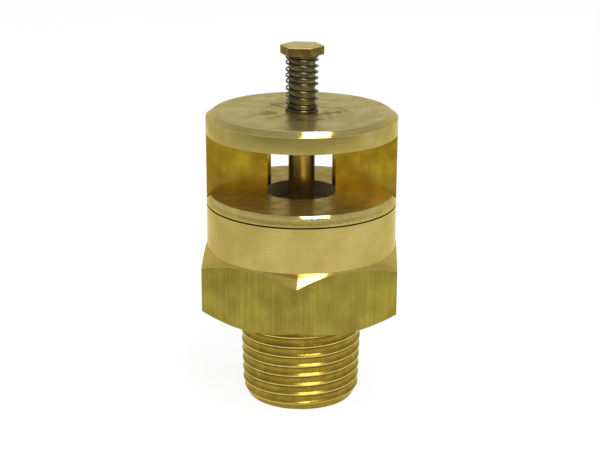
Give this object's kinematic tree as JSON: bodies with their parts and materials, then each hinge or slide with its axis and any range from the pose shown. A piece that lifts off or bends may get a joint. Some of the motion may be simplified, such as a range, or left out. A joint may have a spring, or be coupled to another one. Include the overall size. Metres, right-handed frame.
{
  "type": "vacuum relief valve",
  "caption": "Adjustable vacuum relief valve: hexagon body with a male taper pipe thread, a windowed air inlet cage, and a spring-loaded stem with a hexagon head on top.",
  "frame": {"origin": "centre of the threaded end's bottom face, on the valve's axis", "axes": "+Z along the valve's axis, from the pipe thread to the adjusting head; the air windows face -Y and +Y"},
  "size_m": [0.035, 0.0396, 0.0634],
  "materials": {
    "body_brass": "drawn hexagon flats, turned collar",
    "cage_brass": "turned, with milled windows",
    "stem_brass": "turned and smooth",
    "trim_brass": "turned",
    "spring_steel": "drawn wire",
    "seat_rubber": "moulded, matt",
    "gasket_rubber": "cut sheet, matt"
  },
  "bodies": {
    "housing": {"valve_body": "body_brass", "inlet_cage": "cage_brass", "cage_gasket": "gasket_rubber"},
    "poppet": {"disc_holder": "trim_brass", "seat_disc": "seat_rubber", "disc_retainer": "trim_brass", "lock_washer": "spring_steel", "lock_nut": "trim_brass"},
    "spring": {"spring": "spring_steel"},
    "stem": {"stem": "stem_brass"}
  },
  "joints": [
    {"name": "poppet_lift", "type": "slide", "parent": "housing", "child": "poppet", "axis": [0, 0, -1], "range_m": [0, 0.0044], "stiffness_N_per_m": 206, "springref_m": -0.006, "deforming": ["spring"]},
    {"name": "preload_advance", "type": "slide", "parent": "poppet", "child": "spring", "axis": [0, 0, -1], "range_m": [-0.00079, 0.00079], "deforming": ["spring"]},
    {"name": "adjuster_turn", "type": "hinge", "parent": "spring", "child": "stem", "pos_m": [0, 0, 0.0626], "axis": [0, 0, -1], "range_deg": [-361, 361]}
  ],
  "couplings": [
    {"joint": "adjuster_turn", "follows": "preload_advance", "rad_per_m": 7915.8}
  ]
}
